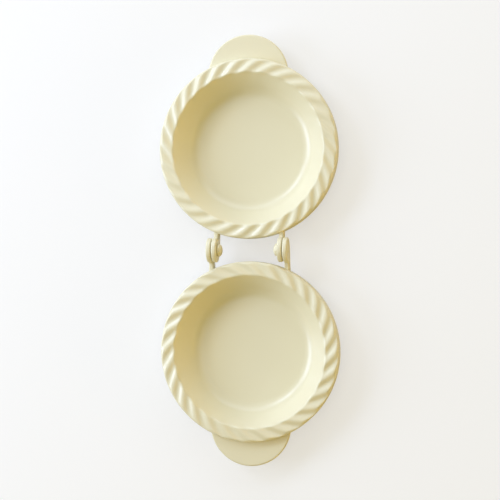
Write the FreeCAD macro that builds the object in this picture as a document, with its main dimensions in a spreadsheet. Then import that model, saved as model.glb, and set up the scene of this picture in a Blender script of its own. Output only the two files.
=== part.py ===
import FreeCAD, Part
import Sketcher
import math
import os

# Hand pie mold: two round dishes with crimped rims, hinged edge to edge on two headed pins.
# The mold lies open and flat. Millimetres, +Z up, the origin on the table under the hinge axis,
# the pins along X, the base dish towards -Y and the lid dish towards +Y.

DRIVING_DIMENSIONS = [
    # dish
    ("rim_radius", 57.5),
    ("rim_width", 9),
    ("dish_depth", 16),
    ("wall_lean", 34),
    ("wall_thickness", 2),
    ("floor_round", 9),
    ("mouth_break", 1),
    # rim and its hanging skirt
    ("rim_thickness", 2),
    ("rim_fall", 0.15),
    ("shoulder_width", 3),
    ("shoulder_drop", 2.4),
    ("skirt_height", 8.4),
    ("skirt_thickness", 2),
    # crimp ridges
    ("ridge_count", 28),
    ("ridge_height", 1.6),
    ("crest_width", 0.3),
    ("ridge_slant", 51),
    ("ridge_bend", 50),
    ("closing_gap", 0.9),
    # thumb tab
    ("tab_radius", 26),
    ("tab_reach", 15.8),
    ("tab_drop", 2.8),
    ("tab_thickness", 2.8),
    ("tab_edge_break", 0.7),
    # hinge arms
    ("hinge_reach", 7.2),
    ("arm_spread", 26),
    ("arm_thickness", 3.1),
    ("arm_clearance", 0.3),
    ("arm_drop", 0.6),
    ("arm_edge_break", 0.5),
    ("eye_radius", 7.8),
    ("stem_height", 7.6),
    ("neck_round", 1.5),
    # hinge pins
    ("pin_radius", 2.25),
    ("pin_running_clearance", 0.06),
    ("head_radius", 4),
    ("head_crown", 2.2),
    ("head_height", 2.9),
    ("head_clearance", 0.2),
]

doc = FreeCAD.newDocument("hand_pie_mold")
sheet = doc.addObject("Spreadsheet::Sheet", "dims")
for row, (alias, value) in enumerate(DRIVING_DIMENSIONS, start=1):
    sheet.set(f"A{row}", alias)
    sheet.set(f"B{row}", str(value))
    sheet.setAlias(f"B{row}", alias)
doc.recompute()

# Levels are heights above the hinge axis, which lies in the parting plane of the closed mold.
RIM_LEVEL = "(-dims.closing_gap / 2)"
CREST_LEVEL = f"({RIM_LEVEL} + dims.ridge_height / 2)"
VALLEY_LEVEL = f"({RIM_LEVEL} - dims.ridge_height / 2)"
EDGE_LEVEL = f"({CREST_LEVEL} - dims.shoulder_drop)"
SKIRT_FOOT_LEVEL = f"({EDGE_LEVEL} - dims.skirt_height)"
RIM_UNDERSIDE_LEVEL = f"({VALLEY_LEVEL} - dims.rim_thickness)"
FLOOR_LEVEL = f"({RIM_LEVEL} - dims.dish_depth)"
BOTTOM_LEVEL = f"({FLOOR_LEVEL} - dims.wall_thickness)"
AXIS_HEIGHT = f"(-{BOTTOM_LEVEL})"
TAB_LEVEL = f"({EDGE_LEVEL} - dims.tab_drop)"
STEM_TOP_LEVEL = f"({EDGE_LEVEL} - dims.arm_drop)"
STEM_FOOT_LEVEL = f"({STEM_TOP_LEVEL} - dims.stem_height)"

# The mouth and the hinge axis keep their distances from the rim's edge, and the tab and the arms
# are rooted in the middle of the skirt's thickness.
MOUTH_RADIUS = "(dims.rim_radius - dims.rim_width)"
HINGE_OFFSET = "(dims.rim_radius + dims.hinge_reach)"
ROOT_RADIUS = "(dims.rim_radius - dims.skirt_thickness / 2)"

# Distances from the middle of the mold to the near faces of the two pairs of arms.
OUTER_ARM_FACE = "(dims.arm_spread - dims.arm_thickness)"
INNER_ARM_FACE = f"({OUTER_ARM_FACE} - dims.arm_clearance - dims.arm_thickness)"

UP = FreeCAD.Vector(0, 0, 1)
TOUCHING = 1e-4


def size(expression):
    """Value of an expression of the sheet's dimensions."""
    return float(sheet.evalExpression(expression))


def point(across, up):
    """Point of a sketch from two expressions."""
    return FreeCAD.Vector(size(across), size(up), 0)


def origin_feature(body, role):
    """Plane or axis of a body's own origin."""
    return next(item for item in body.Origin.OriginFeatures if item.Role == role)


def new_sketch(body, name, plane):
    """Empty sketch on one of the body's origin planes."""
    sketch = body.newObject("Sketcher::SketchObject", name)
    sketch.AttachmentSupport = (origin_feature(body, plane), "")
    sketch.MapMode = "FlatFace"
    return sketch


def hold(sketch, kind, references, expression):
    """Dimension in a sketch, driven by an expression."""
    number = sketch.addConstraint(Sketcher.Constraint(kind, *references, size(expression)))
    sketch.setExpression(f"Constraints[{number}]", expression)


def hold_point(sketch, geometry, end, across, up):
    """Two dimensions that hold a point of a sketch's line or arc from the origin."""
    hold(sketch, "DistanceX", (-1, 1, geometry, end), across)
    hold(sketch, "DistanceY", (-1, 1, geometry, end), up)


def end_at(sketch, side, corner):
    """Which end of a side of a sketch lies at a corner: 1 is its start, 2 its end."""
    return 1 if sketch.getPoint(side, 1).isEqual(corner, TOUCHING) else 2


def outline_sketch(body, name, plane, corners, arcs=None):
    """Closed sketch through corners that are pairs of expressions, each held by two dimensions.

    arcs gives, for a side that is round, its radius, the two expressions of its centre, and
    1 where it takes the short way round that centre or -1 where it takes the long way.
    """
    arcs = arcs or {}
    sketch = new_sketch(body, name, plane)
    points = [point(across, up) for across, up in corners]
    following = points[1:] + points[:1]
    for side, (start, end) in enumerate(zip(points, following)):
        if side not in arcs:
            sketch.addGeometry(Part.LineSegment(start, end))
            continue
        radius, across, up, way = arcs[side]
        centre = point(across, up)
        outwards = ((start + end) * 0.5 - centre).normalize()
        sketch.addGeometry(Part.Arc(start, centre + outwards * size(radius) * way, end))
    for side, corner in enumerate(following):
        after = (side + 1) % len(points)
        ends = (side, end_at(sketch, side, corner), after, end_at(sketch, after, corner))
        sketch.addConstraint(Sketcher.Constraint("Coincident", *ends))
    for side, (across, up) in enumerate(corners):
        hold_point(sketch, side, end_at(sketch, side, points[side]), across, up)
    for side, (radius, *_) in arcs.items():
        hold(sketch, "Radius", (side,), radius)
    return sketch


def pad(body, name, sketch, length):
    """Straight pad of a sketch."""
    feature = body.newObject("PartDesign::Pad", name)
    feature.Profile = sketch
    feature.setExpression("Length", length)
    doc.recompute()
    return feature


def revolve(body, kind, name, sketch, axis, angle="360"):
    """Turn of a sketch about an axis, to both sides of the sketch where it isn't a full turn."""
    feature = body.newObject(kind, name)
    feature.Profile = sketch
    feature.ReferenceAxis = axis
    feature.Midplane = angle != "360"
    feature.setExpression("Angle", angle)
    doc.recompute()
    return feature


def break_edges(body, name, test, width):
    """Chamfer on the edges of the body so far that pass a test."""
    base = body.Tip
    chosen = [f"Edge{number}" for number, edge in enumerate(base.Shape.Edges, start=1) if test(edge)]
    feature = body.newObject("PartDesign::Chamfer", name)
    feature.Base = (base, chosen)
    feature.setExpression("Size", width)
    doc.recompute()


def near(value, expression):
    """Whether a measured value is the size that an expression gives."""
    return abs(value - size(expression)) < TOUCHING


# Section of the dish wall: it leans outwards and turns into the floor round one centre, in bands.
CORNER_TANGENT = "(dims.floor_round * tan(45 - dims.wall_lean / 2))"
FLOOR_CORNER = f"({MOUTH_RADIUS} - dims.dish_depth * tan(dims.wall_lean))"
ROUND_ACROSS = f"({FLOOR_CORNER} - {CORNER_TANGENT})"
ROUND_UP = f"({FLOOR_LEVEL} + dims.floor_round)"
CORNER_BANDS = 2
SHOULDER_BANDS = 2


def floor_corner(radius):
    """Points of the round between the flat floor, where they start, and the leaning wall."""
    turns = [f"((90 - dims.wall_lean) * {step} / {CORNER_BANDS})" for step in range(CORNER_BANDS + 1)]
    return [(f"({ROUND_ACROSS} + {radius} * sin({turn}))", f"({ROUND_UP} - {radius} * cos({turn}))")
            for turn in turns]


def shoulder():
    """Points of the elliptic round between the falling top of the rim, where they start, and its edge."""
    turns = [f"(90 * {step} / {SHOULDER_BANDS})" for step in range(SHOULDER_BANDS + 1)]
    return [(f"(dims.rim_radius - dims.shoulder_width * (1 - sin({turn})))",
             f"({EDGE_LEVEL} + (dims.shoulder_drop - dims.rim_fall) * cos({turn}))") for turn in turns]


def add_dish(body):
    """Turned dish: bowl, mouth, rim with a round shoulder, hanging skirt and outside."""
    mouth_corner = f"({MOUTH_RADIUS} + ({CREST_LEVEL} - {RIM_LEVEL}) * tan(dims.wall_lean))"
    mouth_top = f"({mouth_corner} + dims.mouth_break)"
    inner_skirt = "(dims.rim_radius - dims.skirt_thickness)"
    rim_to_underside = f"({RIM_LEVEL} - {RIM_UNDERSIDE_LEVEL})"
    wall_under_rim = (f"({MOUTH_RADIUS} + dims.wall_thickness / cos(dims.wall_lean)"
                      f" - {rim_to_underside} * tan(dims.wall_lean))")
    section = outline_sketch(body, "dish_sketch", "XZ_Plane", [
        ("0", FLOOR_LEVEL),
        *floor_corner("dims.floor_round"),
        (f"({mouth_corner} - dims.mouth_break * sin(dims.wall_lean))",
         f"({CREST_LEVEL} - dims.mouth_break * cos(dims.wall_lean))"),
        (mouth_top, CREST_LEVEL),
        *shoulder(),
        ("dims.rim_radius", SKIRT_FOOT_LEVEL),
        (inner_skirt, SKIRT_FOOT_LEVEL),
        (inner_skirt, RIM_UNDERSIDE_LEVEL),
        (wall_under_rim, RIM_UNDERSIDE_LEVEL),
        *reversed(floor_corner("(dims.floor_round + dims.wall_thickness)")),
        ("0", BOTTOM_LEVEL)])
    revolve(body, "PartDesign::Revolution", "dish", section, (origin_feature(body, "Z_Axis"), [""]))


def add_ridges(body, hand):
    """Crimp ridges: what is left between slanted, slightly bent valleys cut all round the rim.

    hand is 1 where a ridge turns anticlockwise on its way outwards, seen from above, and -1 where
    it turns clockwise. A valley stands a quarter of the pitch off the tab's middle line, so the
    ridges of one half meet the valleys of the other when the mold is shut. The rim falls on its
    way outwards, so that a valley grows shallow and runs out on the shoulder.
    """
    quarter_pitch = "(90 / dims.ridge_count)"
    middle = f"(({MOUTH_RADIUS} + dims.rim_radius) / 2)"
    across_band = "(dims.rim_width / cos(dims.ridge_slant))"
    towards_bend = f"(dims.ridge_slant + {quarter_pitch})"
    if hand < 0:
        towards_bend = f"(180 - dims.ridge_slant + {quarter_pitch})"

    # Section of a valley from its middle line out: three equal steps, the one in the middle twice
    # as steep, the last one run on a little above the crest.
    spacing = f"(2 * pi * {MOUTH_RADIUS} * cos(dims.ridge_slant) / dims.ridge_count)"
    step = f"(({spacing} - dims.crest_width) / 6)"
    half_width = f"({step} * 13 / 4)"
    half_section = [
        (half_width, f"({VALLEY_LEVEL} + dims.ridge_height * 2)"),
        (half_width, f"({VALLEY_LEVEL} + dims.ridge_height * 17 / 16)"),
        (f"({step} * 2)", f"({VALLEY_LEVEL} + dims.ridge_height * 3 / 4)"),
        (step, f"({VALLEY_LEVEL} + dims.ridge_height / 4)")]
    foot = [("dims.ridge_bend", VALLEY_LEVEL)]
    left_side = [(f"(dims.ridge_bend - {across})", up) for across, up in half_section]
    right_side = [(f"(dims.ridge_bend + {across})", up) for across, up in reversed(half_section)]
    sketch = outline_sketch(body, "valley_sketch", "XZ_Plane", left_side + foot + right_side)
    # The sketch stands upright on the middle of the valley's bend, square to the valley.
    bend_across = f"({middle} * sin({quarter_pitch}) + dims.ridge_bend * cos({towards_bend}))"
    bend_back = f"({middle} * cos({quarter_pitch}) - dims.ridge_bend * sin({towards_bend}))"
    sketch.setExpression("AttachmentOffset", (
        f"placement(vector({bend_across}; 0; {bend_back});"
        f" rotation(vector(0; 1; 0); {towards_bend} + 180))"))

    valley_length = (f"({across_band} + 2 * {half_width} * tan(dims.ridge_slant)"
                     f" + dims.shoulder_width)")
    valley = revolve(body, "PartDesign::Groove", "valley", sketch, (sketch, ["V_Axis"]),
                     f"{valley_length} / dims.ridge_bend * 180 / pi")
    pattern = body.newObject("PartDesign::PolarPattern", "valleys")
    pattern.Originals = [valley]
    pattern.Axis = (origin_feature(body, "Z_Axis"), [""])
    pattern.Angle = 360
    pattern.setExpression("Occurrences", "dims.ridge_count")
    body.Tip = pattern
    doc.recompute()


def add_tab(body):
    """Round thumb tab: a flat plate with rounded edges that stands out of the skirt."""
    centre = "(dims.rim_radius + dims.tab_reach - dims.tab_radius)"
    root_up = f"(-({ROOT_RADIUS} ^ 2 + {centre} ^ 2 - dims.tab_radius ^ 2) / (2 * {centre}))"
    root_across = f"sqrt({ROOT_RADIUS} ^ 2 - {root_up} ^ 2)"
    sketch = outline_sketch(body, "tab_sketch", "XY_Plane", [
        (f"-{root_across}", root_up), (root_across, root_up)],
        {0: ("dims.tab_radius", "0", f"-{centre}", 1), 1: (ROOT_RADIUS, "0", "0", 1)})
    sketch.setExpression("AttachmentOffset.Base.z", f"{TAB_LEVEL} - dims.tab_thickness")
    pad(body, "tab", sketch, "dims.tab_thickness")

    def on_outline(edge):
        """An edge round the outside of the tab."""
        return isinstance(edge.Curve, Part.Circle) and near(edge.Curve.Radius, "dims.tab_radius")

    break_edges(body, "tab_edge", on_outline, "dims.tab_edge_break")


def add_arms(body, near_face, bore_radius):
    """Pair of hinge arms: a bored eye on the axis with a stem that runs back into the skirt."""
    far_face = f"({near_face} + dims.arm_thickness)"
    root = f"sqrt({ROOT_RADIUS} ^ 2 - ({near_face} + dims.arm_thickness / 2) ^ 2)"
    # The eye runs into the stem's top over a hollow round, and into its foot at a tangent.
    neck_up = f"({STEM_TOP_LEVEL} + dims.neck_round)"
    neck_reach = "(dims.eye_radius + dims.neck_round)"
    neck_back = f"sqrt({neck_reach} ^ 2 - {neck_up} ^ 2)"
    eye_share = f"(dims.eye_radius / {neck_reach})"
    foot_across = f"({root} - {HINGE_OFFSET})"
    foot_reach = f"sqrt({foot_across} ^ 2 + {STEM_FOOT_LEVEL} ^ 2)"
    tangent = f"(atan2({STEM_FOOT_LEVEL}; {foot_across}) + acos(dims.eye_radius / {foot_reach}))"
    sketch = outline_sketch(body, "arm_sketch", "YZ_Plane", [
        (f"({HINGE_OFFSET} - {neck_back})", STEM_TOP_LEVEL),
        (root, STEM_TOP_LEVEL),
        (root, STEM_FOOT_LEVEL),
        (f"({HINGE_OFFSET} + dims.eye_radius * cos({tangent}))", f"(dims.eye_radius * sin({tangent}))"),
        (f"({HINGE_OFFSET} - {neck_back} * {eye_share})", f"({neck_up} * {eye_share})")],
        {3: ("dims.eye_radius", HINGE_OFFSET, "0", -1),
         4: ("dims.neck_round", f"({HINGE_OFFSET} - {neck_back})", neck_up, 1)})
    bore = sketch.addGeometry(Part.Circle(point(HINGE_OFFSET, "0"), UP, size(bore_radius)))
    sketch.addConstraint(Sketcher.Constraint("Coincident", bore, 3, 3, 3))
    hold(sketch, "Radius", (bore,), bore_radius)
    sketch.setExpression("AttachmentOffset.Base.z", near_face)
    arm = pad(body, "arm", sketch, "dims.arm_thickness")
    mirrored = body.newObject("PartDesign::Mirrored", "arm_pair")
    mirrored.Originals = [arm]
    mirrored.MirrorPlane = (origin_feature(body, "YZ_Plane"), [""])
    body.Tip = mirrored
    doc.recompute()

    def on_outline(edge):
        """An edge round the outside of an eye or stem, on one of the arm's flat sides."""
        middle = edge.CenterOfMass
        on_side = near(abs(middle.x), near_face) or near(abs(middle.x), far_face)
        clear_of_skirt = math.hypot(middle.x, middle.y) > size("dims.rim_radius") + TOUCHING
        return on_side and clear_of_skirt and not edge.isClosed()

    break_edges(body, "arm_edges", on_outline, "dims.arm_edge_break")


def place(item, across, turned):
    """Set a sub-part at the hinge axis height, moved along Y and turned end for end or not."""
    if turned:
        item.Placement.Rotation = FreeCAD.Rotation(UP, 180)
    item.setExpression("Placement.Base.y", across)
    item.setExpression("Placement.Base.z", AXIS_HEIGHT)
    doc.recompute()


def make_half(name, arm_face, bore_radius, hand, across, turned):
    """One moulded half of the mold, built with the middle of its dish at its own origin."""
    body = doc.addObject("PartDesign::Body", name)
    body.Label = name
    add_dish(body)
    add_ridges(body, hand)
    add_tab(body)
    add_arms(body, arm_face, bore_radius)
    place(body, across, turned)
    return body


def make_pin(name, turned):
    """Headed hinge pin along X: a raised head inside the arms and a shank through both arms."""
    body = doc.addObject("PartDesign::Body", name)
    body.Label = name
    head_seat = f"({INNER_ARM_FACE} - dims.head_clearance)"
    head_tip = f"({head_seat} - dims.head_height)"
    section = outline_sketch(body, "pin_sketch", "XY_Plane", [
        (head_tip, "0"),
        ("dims.arm_spread", "0"),
        ("dims.arm_spread", "dims.pin_radius"),
        (head_seat, "dims.pin_radius"),
        (head_seat, "dims.head_radius"),
        (f"({head_tip} + dims.head_radius - dims.head_crown)", "dims.head_radius"),
        (head_tip, "dims.head_crown")])
    revolve(body, "PartDesign::Revolution", "pin", section, (origin_feature(body, "X_Axis"), [""]))
    place(body, "0", turned)
    return body


running_bore = "(dims.pin_radius + dims.pin_running_clearance)"
sub_parts = [
    make_half("base_half", OUTER_ARM_FACE, "dims.pin_radius", 1, f"-{HINGE_OFFSET}", False),
    make_half("lid_half", INNER_ARM_FACE, running_bore, -1, HINGE_OFFSET, True),
    make_pin("hinge_pin_right", False),
    make_pin("hinge_pin_left", True),
]

for item in doc.Objects:
    if "Invalid" in item.State or "Error" in item.State:
        raise RuntimeError(f"{item.Name} did not build: {item.State}")
for sub_part in sub_parts:
    if sub_part.Shape.isNull() or not sub_part.Shape.isValid() or len(sub_part.Shape.Solids) != 1:
        raise RuntimeError(f"{sub_part.Label} is not one valid solid")

os.makedirs("parts", exist_ok=True)
for sub_part in sub_parts:
    sub_part.Shape.exportStep(f"parts/{sub_part.Label}.step")
    print(f"{sub_part.Label}: {sub_part.Shape.Volume:.0f} mm3, {len(sub_part.Shape.Faces)} faces")
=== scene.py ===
import math
import bmesh
import bpy
from mathutils import Matrix, Vector


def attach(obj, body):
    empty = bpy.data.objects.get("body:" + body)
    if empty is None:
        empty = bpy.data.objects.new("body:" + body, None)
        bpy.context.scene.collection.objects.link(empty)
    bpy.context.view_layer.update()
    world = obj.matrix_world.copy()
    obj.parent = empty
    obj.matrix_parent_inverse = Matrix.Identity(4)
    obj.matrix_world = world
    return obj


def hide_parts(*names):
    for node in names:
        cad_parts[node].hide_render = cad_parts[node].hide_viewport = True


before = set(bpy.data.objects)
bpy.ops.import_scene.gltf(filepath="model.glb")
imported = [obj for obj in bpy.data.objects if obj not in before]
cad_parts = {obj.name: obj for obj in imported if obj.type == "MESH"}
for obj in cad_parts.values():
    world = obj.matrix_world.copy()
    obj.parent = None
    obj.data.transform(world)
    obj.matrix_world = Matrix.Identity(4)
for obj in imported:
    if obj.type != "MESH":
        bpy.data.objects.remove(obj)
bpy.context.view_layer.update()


# Moulded halves, base and lid. Each is one injection moulding in satin cream plastic: a round dish
# with a crimped rim and a hanging skirt, a thumb tab opposite the hinge and two hinge arms.
# Sizes are in millimetres from the middle of a dish, heights from the hinge axis.
MM = 0.001
AXIS_HEIGHT = 18.45
HINGE_OFFSET = 64.7
RIM_RADIUS = 57.5
ROOT_RADIUS = 56.5
FLOOR_LEVEL = -16.45
UNDERSIDE = -18.45
WALL_LEAN = math.radians(34)
RIDGES = 28
FACETS_PER_RIDGE = 16
RIDGE_TWIST = 0.0233
BAND_INNER = 46.0
BAND_MIDDLE = 53.0
SHARP_EDGE = math.radians(50)


def rounded(corners, steps):
    """Points of a line through (across, up, radius) corners, with an arc at each that has a radius."""
    line = []
    for index, (across, up, radius) in enumerate(corners):
        here = Vector((across, up))
        if radius == 0:
            line.append(here)
            continue
        back = (Vector(corners[index - 1][:2]) - here).normalized()
        on = (Vector(corners[index + 1][:2]) - here).normalized()
        half = back.angle(on) / 2
        centre = here + (back + on).normalized() * radius / math.sin(half)
        start = here + back * radius / math.tan(half) - centre
        end = here + on * radius / math.tan(half) - centre
        turn = math.atan2(start.x * end.y - start.y * end.x, start.dot(end))
        for step in range(steps + 1):
            line.append(centre + Matrix.Rotation(turn * step / steps, 2) @ start)
    return line


def between(start, end, count):
    """Points between two points of a section, without the two."""
    return [start.lerp(end, step / (count + 1)) for step in range(1, count + 1)]


def on_circle(centre, radius, turn):
    """Point of a circle in the plane of a section."""
    return centre + radius * Vector((math.cos(turn), math.sin(turn)))


def floor_round(radius, steps):
    """Points of the round between the flat floor and the leaning wall, from the floor up."""
    centre_across, centre_up = 32.92, -7.45
    turns = [(math.pi / 2 - WALL_LEAN) * step / steps for step in range(steps + 1)]
    return [Vector((centre_across + radius * math.sin(turn), centre_up - radius * math.cos(turn)))
            for turn in turns]


def dish_rows():
    """Pairs of points, on a crest and in a valley, row by row from the dish floor round to the bottom."""
    wall_top = Vector((45.97, -4.2))
    crest_inner, crest_outer = (48.75, 0.35), (RIM_RADIUS, 0.15)
    valley_inner, valley_level, valley_start, valley_full = (48.6, -0.4), -0.75, 51.5, 52
    crest_softness, crest_lift = 0.06, 0.03
    skirt_inside, skirt_foot, rim_underside = 55.5, -10.45, -3.25

    inside = [Vector((across, FLOOR_LEVEL)) for across in (4, 12, 20, 27)] + floor_round(9, 10)
    inside += between(inside[-1], wall_top, 4) + [wall_top]
    rows = [(place, place) for place in inside]

    crest_mouth = rounded([(*wall_top, 0), (*crest_inner, 1.7), (*crest_outer, 0)], 9)[1:-1]
    valley_mouth = rounded([(*wall_top, 0), (*valley_inner, 1.6), (valley_start, valley_level, 0)], 9)[1:-1]
    rows += list(zip(between(wall_top, crest_mouth[0], 2), between(wall_top, valley_mouth[0], 2)))
    rows += list(zip(crest_mouth, valley_mouth))

    shoulder = rounded([(*crest_inner, 0), (*crest_outer, 2.2), (RIM_RADIUS, -9.0, 0)], 12)[1:-1]
    top = between(crest_mouth[-1], shoulder[0], 8) + shoulder
    mouth_end = valley_mouth[-1]
    for place in top:
        share = min(max((place.x - mouth_end.x) / (valley_full - mouth_end.x), 0.0), 1.0)
        groove = mouth_end.y + (valley_level - mouth_end.y) * math.sin(share * math.pi / 2)
        depth = place.y - groove
        sunk = groove + 0.5 * (depth - math.sqrt(depth * depth + crest_softness))
        rows.append((place, Vector((place.x, min(place.y, sunk + crest_lift)))))

    outside = rounded([(*top[-1], 0), (RIM_RADIUS, skirt_foot, 0.6), (skirt_inside, skirt_foot, 0.6),
                       (skirt_inside, rim_underside, 0.8), (49.02, rim_underside, 0.8),
                       (42.04, -13.6, 0)], 4)[1:-1]
    under = list(reversed(floor_round(11, 8)))
    outside += between(outside[-1], under[0], 3) + under
    outside += [Vector((across, UNDERSIDE)) for across in (22, 11)]
    return rows + [(place, place) for place in outside]


def add_dish(mesh, hand):
    """Turned dish whose rim waves between its crests and valleys. hand is the way the ridges lean."""
    count = RIDGES * FACETS_PER_RIDGE
    quarter_pitch = math.pi / 2
    grid = []
    for crest, valley in dish_rows():
        reach = min(max(crest.x, BAND_INNER), RIM_RADIUS)
        twist = hand * RIDGE_TWIST * (reach - BAND_MIDDLE)
        ring = []
        for step in range(count):
            phase = 2 * math.pi * step / FACETS_PER_RIDGE
            place = valley.lerp(crest, 0.5 + 0.5 * math.cos(phase))
            turn = (phase - quarter_pitch) / RIDGES + twist
            ring.append(mesh.verts.new((place.x * math.sin(turn), -place.x * math.cos(turn), place.y)))
        grid.append(ring)
    for ring, following in zip(grid, grid[1:]):
        for step in range(count):
            after = (step + 1) % count
            mesh.faces.new((ring[step], ring[after], following[after], following[step]))
    for ring, level in ((grid[0], FLOOR_LEVEL), (grid[-1], UNDERSIDE)):
        middle = mesh.verts.new((0, 0, level))
        for step in range(count):
            mesh.faces.new((ring[step], ring[(step + 1) % count], middle))


def add_tab(mesh):
    """Thumb tab: a plate with round edges that grows out of the skirt."""
    centre, radius, top, thickness, edge = 47.3, 26.0, -4.85, 2.8, 1.1
    columns_each_side, corner_margin = 48, 0.004
    meeting = (ROOT_RADIUS ** 2 - centre ** 2 - radius ** 2) / (2 * centre * radius)
    half_angle = math.acos(meeting) - corner_margin
    columns = []
    for step in range(2 * columns_each_side + 1):
        angle = half_angle * (step / columns_each_side - 1)
        root = math.sqrt(ROOT_RADIUS ** 2 - (centre * math.sin(angle)) ** 2) - centre * math.cos(angle)
        round_edge = min(edge, 0.9 * (radius - root))
        section = rounded([(root, top, 0), (radius, top, round_edge),
                           (radius, top - thickness, round_edge), (root, top - thickness, 0)], 7)
        section[1:1] = between(section[0], section[1], 6)
        section[-1:-1] = between(section[-2], section[-1], 6)
        columns.append([mesh.verts.new((place.x * math.sin(angle), -centre - place.x * math.cos(angle),
                                        place.y)) for place in section])
    for column, following in zip(columns, columns[1:]):
        for step in range(len(column) - 1):
            mesh.faces.new((column[step], column[step + 1], following[step + 1], following[step]))


def add_arm(mesh, near_face, side):
    """Hinge arm: an eye bored for its pin, on a stem that runs back into the skirt."""
    thickness, edge, eye, bore = 3.1, 0.9, 7.8, 2.25
    stem_top, stem_foot, neck = -2.65, -10.25, 1.5
    neck_steps, eye_steps, edge_steps, bore_steps = 8, 72, 5, 32
    root = math.sqrt(ROOT_RADIUS ** 2 - (near_face + thickness / 2) ** 2)
    neck_up = stem_top + neck
    neck_back = math.sqrt((eye + neck) ** 2 - neck_up ** 2)
    neck_centre = Vector((HINGE_OFFSET - neck_back, neck_up))
    contact = math.pi - math.atan2(neck_up, neck_back)
    foot = Vector((root - HINGE_OFFSET, stem_foot))
    tangent = math.atan2(foot.y, foot.x) + math.acos(eye / foot.length)
    if tangent > 0:
        tangent -= 2 * math.pi
    outline = [Vector((root, stem_foot)), Vector((root, stem_top)), Vector((root + 2, stem_top))]
    for step in range(neck_steps + 1):
        turn = -math.pi / 2 + (contact - math.pi / 2) * step / neck_steps
        outline.append(on_circle(neck_centre, neck, turn))
    for step in range(1, eye_steps + 1):
        turn = contact + (tangent - contact) * step / eye_steps
        outline.append(on_circle(Vector((HINGE_OFFSET, 0)), eye, turn))
    outline += between(outline[-1], outline[0], 5)

    count = len(outline)
    inwards = []
    for index in range(count):
        along = (outline[(index + 1) % count] - outline[index - 1]).normalized()
        inwards.append(Vector((along.y, -along.x)))
    turns = [math.pi / 2 * step / edge_steps for step in range(edge_steps + 1)]
    levels = [(edge * (1 - math.sin(turn)), edge * (1 - math.cos(turn))) for turn in turns]
    levels += [(inset, thickness - depth) for inset, depth in reversed(levels)]
    loops = []
    for inset, depth in levels:
        across = side * (near_face + depth)
        loops.append([mesh.verts.new((across, *(place + push * inset)))
                      for place, push in zip(outline, inwards)])
    for loop, following in zip(loops, loops[1:]):
        for step in range(count):
            after = (step + 1) % count
            mesh.faces.new((loop[step], loop[after], following[after], following[step]))

    bores = []
    for loop in (loops[0], loops[-1]):
        circle = [on_circle(Vector((HINGE_OFFSET, 0)), bore, 2 * math.pi * step / bore_steps)
                  for step in range(bore_steps)]
        hole = [mesh.verts.new((loop[0].co.x, *place)) for place in circle]
        rims = [mesh.edges.get((loop[step], loop[(step + 1) % count])) for step in range(count)]
        rims += [mesh.edges.new((hole[step], hole[(step + 1) % bore_steps])) for step in range(bore_steps)]
        bmesh.ops.triangle_fill(mesh, use_beauty=True, edges=rims)
        bores.append(hole)
    for step in range(bore_steps):
        after = (step + 1) % bore_steps
        mesh.faces.new((bores[0][step], bores[0][after], bores[1][after], bores[1][step]))


def add_half(name, node, body, hand, arm_face, across, turned):
    """One moulded half, placed where its node is."""
    shape = bmesh.new()
    add_dish(shape, hand)
    add_tab(shape)
    add_arm(shape, arm_face, 1)
    add_arm(shape, arm_face, -1)
    bmesh.ops.recalc_face_normals(shape, faces=shape.faces)
    move = Matrix.Translation((0, across * MM, AXIS_HEIGHT * MM)) @ Matrix.Scale(MM, 4)
    if turned:
        move = move @ Matrix.Rotation(math.pi, 4, "Z")
    shape.transform(move)
    mesh = bpy.data.meshes.new(name)
    shape.to_mesh(mesh)
    shape.free()
    mesh.shade_smooth()
    mesh.set_sharp_from_angle(angle=SHARP_EDGE)
    half = bpy.data.objects.new(name, mesh)
    bpy.context.scene.collection.objects.link(half)
    half.modifiers.new("even_flats", "WEIGHTED_NORMAL").keep_sharp = True
    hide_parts(node)
    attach(half, body)
    return half


base_half = add_half("base_moulding", "base_half", "base", 1, 22.9, -HINGE_OFFSET, False)
lid_half = add_half("lid_moulding", "lid_half", "lid", -1, 19.5, HINGE_OFFSET, True)

cream = bpy.data.materials.new("cream_plastic")
cream.use_nodes = True
nodes, links = cream.node_tree.nodes, cream.node_tree.links
shader = nodes["Principled BSDF"]
shader.inputs["IOR"].default_value = 1.6
where = nodes.new("ShaderNodeTexCoord")
cloud = nodes.new("ShaderNodeTexNoise")
cloud.inputs["Scale"].default_value = 22
cloud.inputs["Detail"].default_value = 2
links.new(where.outputs["Object"], cloud.inputs["Vector"])
tint = nodes.new("ShaderNodeValToRGB")
tint.color_ramp.elements[0].position = 0.3
tint.color_ramp.elements[0].color = (0.853, 0.796, 0.566, 1)
tint.color_ramp.elements[1].position = 0.72
tint.color_ramp.elements[1].color = (0.865, 0.809, 0.584, 1)
links.new(cloud.outputs["Fac"], tint.inputs["Fac"])
links.new(tint.outputs["Color"], shader.inputs["Base Color"])
sheen = nodes.new("ShaderNodeTexNoise")
sheen.inputs["Scale"].default_value = 120
sheen.inputs["Detail"].default_value = 3
links.new(where.outputs["Object"], sheen.inputs["Vector"])
# A roughness that goes under 0.28 came out blotchy in the render, so the sheen stays above it.
polish = nodes.new("ShaderNodeMapRange")
polish.inputs["From Min"].default_value = 0.3
polish.inputs["From Max"].default_value = 0.7
polish.inputs["To Min"].default_value = 0.28
polish.inputs["To Max"].default_value = 0.32
links.new(sheen.outputs["Fac"], polish.inputs["Value"])
links.new(polish.outputs["Result"], shader.inputs["Roughness"])
grain = nodes.new("ShaderNodeTexNoise")
grain.inputs["Scale"].default_value = 1500
grain.inputs["Detail"].default_value = 2
links.new(where.outputs["Object"], grain.inputs["Vector"])
bump = nodes.new("ShaderNodeBump")
bump.inputs["Strength"].default_value = 0.03
bump.inputs["Distance"].default_value = 0.0002
links.new(grain.outputs["Fac"], bump.inputs["Height"])
links.new(bump.outputs["Normal"], shader.inputs["Normal"])
for half in (base_half, lid_half):
    half.data.materials.append(cream)


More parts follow.
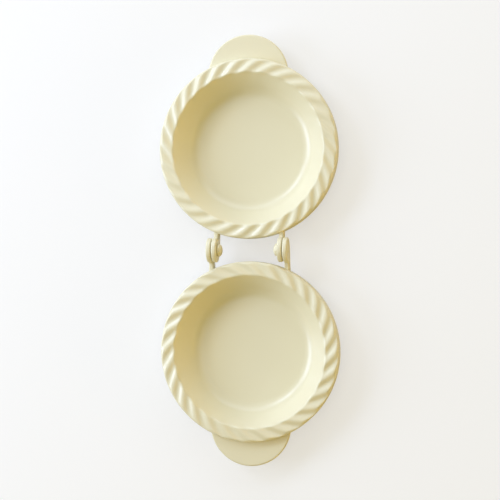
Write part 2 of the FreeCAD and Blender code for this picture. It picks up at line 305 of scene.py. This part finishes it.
# Hinge pins, left and right. Each is a short plastic pin pushed out through both arms from the
# inside: a low domed head against the inner eye, and a shank that ends flush in the outer one.
HEAD_TIP, HEAD_BRIM, HEAD_RADIUS = 16.4, 18.6, 4.0
HEAD_FACE, SHANK_RADIUS, SHANK_END = 19.3, 2.25, 26.0
DOME_STEPS = 12
PIN_FACETS = 48
pin_section = [(HEAD_TIP, 0.0)]
for step in range(1, DOME_STEPS + 1):
    turn = math.pi / 2 * step / DOME_STEPS
    pin_section.append((HEAD_BRIM - (HEAD_BRIM - HEAD_TIP) * math.cos(turn), HEAD_RADIUS * math.sin(turn)))
pin_section += [(19.1, HEAD_RADIUS), (19.26, 3.93), (HEAD_FACE, 3.8), (HEAD_FACE, SHANK_RADIUS),
                (25.7, SHANK_RADIUS), (25.95, 2.1), (SHANK_END, 1.9), (SHANK_END, 0.0)]
pins = []
for name, node, side in (("pin_right", "hinge_pin_right", 1), ("pin_left", "hinge_pin_left", -1)):
    shape = bmesh.new()
    rings = []
    for across, reach in pin_section:
        if reach == 0:
            rings.append([shape.verts.new((side * across * MM, 0, AXIS_HEIGHT * MM))])
            continue
        turns = [2 * math.pi * step / PIN_FACETS for step in range(PIN_FACETS)]
        rings.append([shape.verts.new((side * across * MM, reach * math.cos(turn) * MM,
                                       (AXIS_HEIGHT + reach * math.sin(turn)) * MM)) for turn in turns])
    for ring, following in zip(rings, rings[1:]):
        for step in range(PIN_FACETS):
            after = (step + 1) % PIN_FACETS
            if len(ring) == 1:
                shape.faces.new((ring[0], following[after], following[step]))
            elif len(following) == 1:
                shape.faces.new((ring[step], ring[after], following[0]))
            else:
                shape.faces.new((ring[step], ring[after], following[after], following[step]))
    bmesh.ops.recalc_face_normals(shape, faces=shape.faces)
    mesh = bpy.data.meshes.new(name)
    shape.to_mesh(mesh)
    shape.free()
    mesh.shade_smooth()
    mesh.set_sharp_from_angle(angle=SHARP_EDGE)
    pin = bpy.data.objects.new(name, mesh)
    bpy.context.scene.collection.objects.link(pin)
    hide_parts(node)
    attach(pin, "base")
    pins.append(pin)

pin_plastic = cream.copy()
pin_plastic.name = "pin_plastic"
for pin in pins:
    pin.data.materials.append(pin_plastic)


# Floor: a pale matte table that runs out of the picture and keeps the mold's soft shadow.
# The camera sees it lighter than it is, near the white of the photo.
FLOOR_SIZE = 6
bpy.ops.mesh.primitive_plane_add(size=FLOOR_SIZE, location=(0, 0, 0))
floor = bpy.context.object
floor.name = "floor"
paper = bpy.data.materials.new("pale_table")
paper.use_nodes = True
paper_nodes, paper_links = paper.node_tree.nodes, paper.node_tree.links
paper_shader = paper_nodes["Principled BSDF"]
paper_shader.inputs["Roughness"].default_value = 0.9
paper_shader.inputs["Specular IOR Level"].default_value = 0.1
seen = paper_nodes.new("ShaderNodeLightPath")
lift = paper_nodes.new("ShaderNodeMath")
lift.operation = "MULTIPLY"
lift.inputs[1].default_value = 0.55
paper_links.new(seen.outputs["Is Camera Ray"], lift.inputs[0])
shade = paper_nodes.new("ShaderNodeMix")
shade.data_type = "RGBA"
shade.inputs["A"].default_value = (0.86, 0.86, 0.86, 1)
shade.inputs["B"].default_value = (0.42, 0.42, 0.42, 1)
paper_links.new(seen.outputs["Is Camera Ray"], shade.inputs["Factor"])
paper_links.new(shade.outputs["Result"], paper_shader.inputs["Base Color"])
paper_shader.inputs["Emission Color"].default_value = (1, 1, 1, 1)
paper_links.new(lift.outputs["Value"], paper_shader.inputs["Emission Strength"])
floor.data.materials.append(paper)


# Light: a small window to the upper left, two pale screens to the left and behind and a softbox
# overhead, all in cool daylight, with a weak amber strip low on the right and a warm room as fill.
# The room's walls are pale where the camera sees them.
world = bpy.data.worlds.new("room")
bpy.context.scene.world = world
world.use_nodes = True
room_nodes, room_links = world.node_tree.nodes, world.node_tree.links
looked_at = room_nodes.new("ShaderNodeLightPath")
walls = room_nodes.new("ShaderNodeMix")
walls.data_type = "RGBA"
walls.inputs["A"].default_value = (0.357, 0.267, 0.014, 1)
walls.inputs["B"].default_value = (0.87, 0.87, 0.86, 1)
room_links.new(looked_at.outputs["Is Camera Ray"], walls.inputs["Factor"])
room_links.new(walls.outputs["Result"], room_nodes["Background"].inputs["Color"])
daylight = (0.6, 0.72, 1.0)
amber = (1.0, 0.6, 0.08)
lit_spot = Vector((0, 0, 0.01))
for name, place, width, length, power, spread, colour in (
        ("window", (-0.664, 0.519, 0.707), 0.35, 0.35, 3.6, 180, daylight),
        ("left_screen", (-0.997, 0.0, 0.465), 0.6, 0.6, 8.08, 180, daylight),
        ("back_screen", (0.0, 1.1, 0.5), 1.6, 1.0, 9.93, 180, daylight),
        ("softbox", (0.0, 0.0, 1.3), 1.2, 1.2, 3.77, 180, daylight),
        ("right_strip", (1.1, -0.2, 0.22), 1.6, 0.3, 0.4, 40, amber)):
    light = bpy.data.lights.new(name, "AREA")
    light.shape = "RECTANGLE"
    light.size = width
    light.size_y = length
    light.energy = power
    light.spread = math.radians(spread)
    light.color = colour
    light_object = bpy.data.objects.new(name, light)
    light_object.location = place
    light_object.rotation_euler = (lit_spot - light_object.location).to_track_quat("-Z", "Y").to_euler()
    bpy.context.scene.collection.objects.link(light_object)
bpy.context.scene.view_settings.view_transform = "Standard"


# Camera: above the mold and well to its right, the lid at the top of the picture.
camera = bpy.data.cameras.new("camera")
camera.lens = 94.4
camera.sensor_width = 36
camera_object = bpy.data.objects.new("camera", camera)
eye_point = Vector((0.148, -0.006, 0.838))
aim = Vector((0.0008, 0.0, 0.015))
picture_up = Vector((0.0075, 1, 0))
look = (aim - eye_point).normalized()
right = look.cross(picture_up).normalized()
upright = right.cross(look)
camera_object.matrix_world = Matrix((right, upright, -look)).transposed().to_4x4()
camera_object.location = eye_point
bpy.context.scene.collection.objects.link(camera_object)
bpy.context.scene.camera = camera_object
